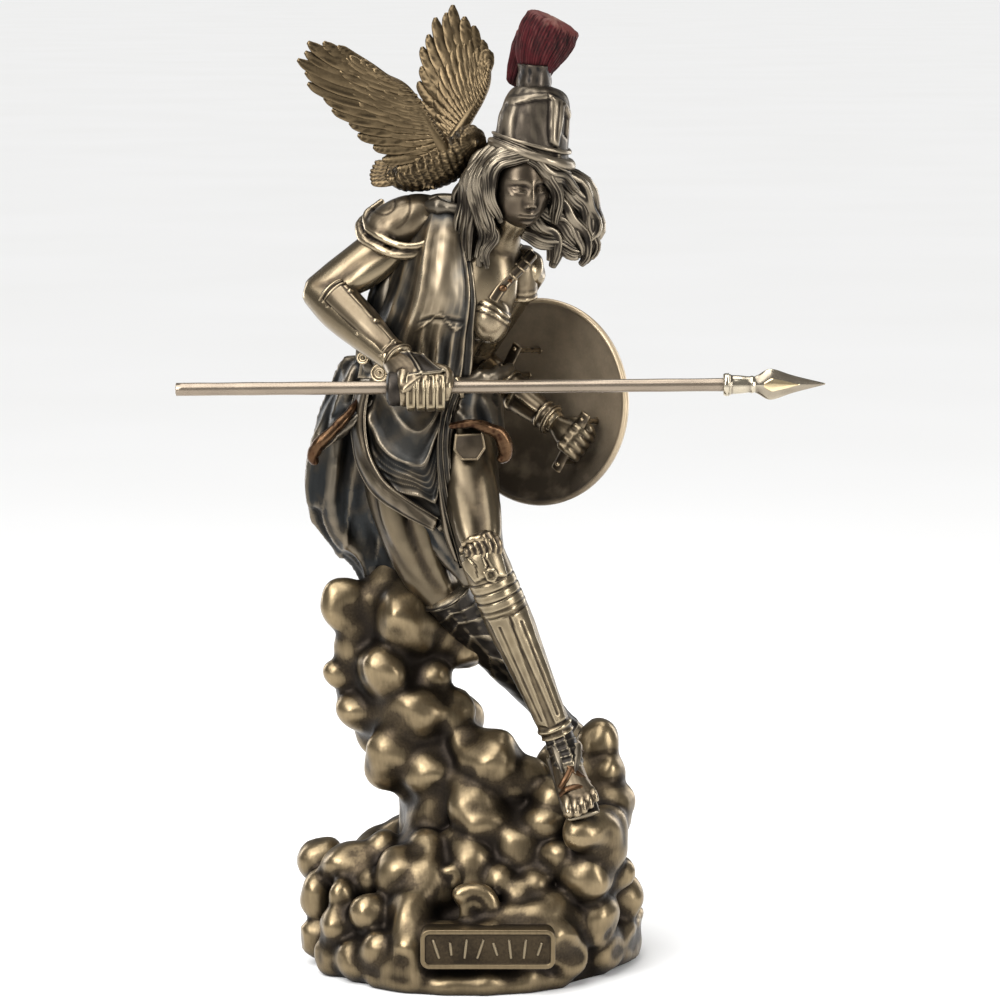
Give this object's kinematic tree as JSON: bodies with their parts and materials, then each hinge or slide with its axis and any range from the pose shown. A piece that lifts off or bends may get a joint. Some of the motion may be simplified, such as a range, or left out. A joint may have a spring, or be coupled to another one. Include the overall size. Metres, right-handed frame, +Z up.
{
  "type": "goddess statue",
  "caption": "Desk statue of a helmeted goddess stepping off a cloud bank, with an owl on her shoulder, a level spear and a round shield.",
  "frame": {"origin": "centre of the flat underside of the cloud bank", "axes": "+Z up; the viewer and the nameplate are on the -Y side; +X is the way the spear points"},
  "size_m": [0.1969, 0.1105, 0.2997],
  "materials": {
    "cast_bronze": "cold-cast bronze, dark wash in the hollows, rubbed highlights",
    "owl_bronze": "brown bronze, satin",
    "shield_bronze": "scratched dark bronze with a bright rim",
    "shaft_metal": "pale brushed bronze",
    "spear_bronze": "polished pale bronze with a gold panel"
  },
  "bodies": {
    "root": {"statue": "cast_bronze", "owl": "owl_bronze", "shield": "shield_bronze", "spear_shaft": "shaft_metal", "spear_head": "spear_bronze"}
  },
  "joints": []
}
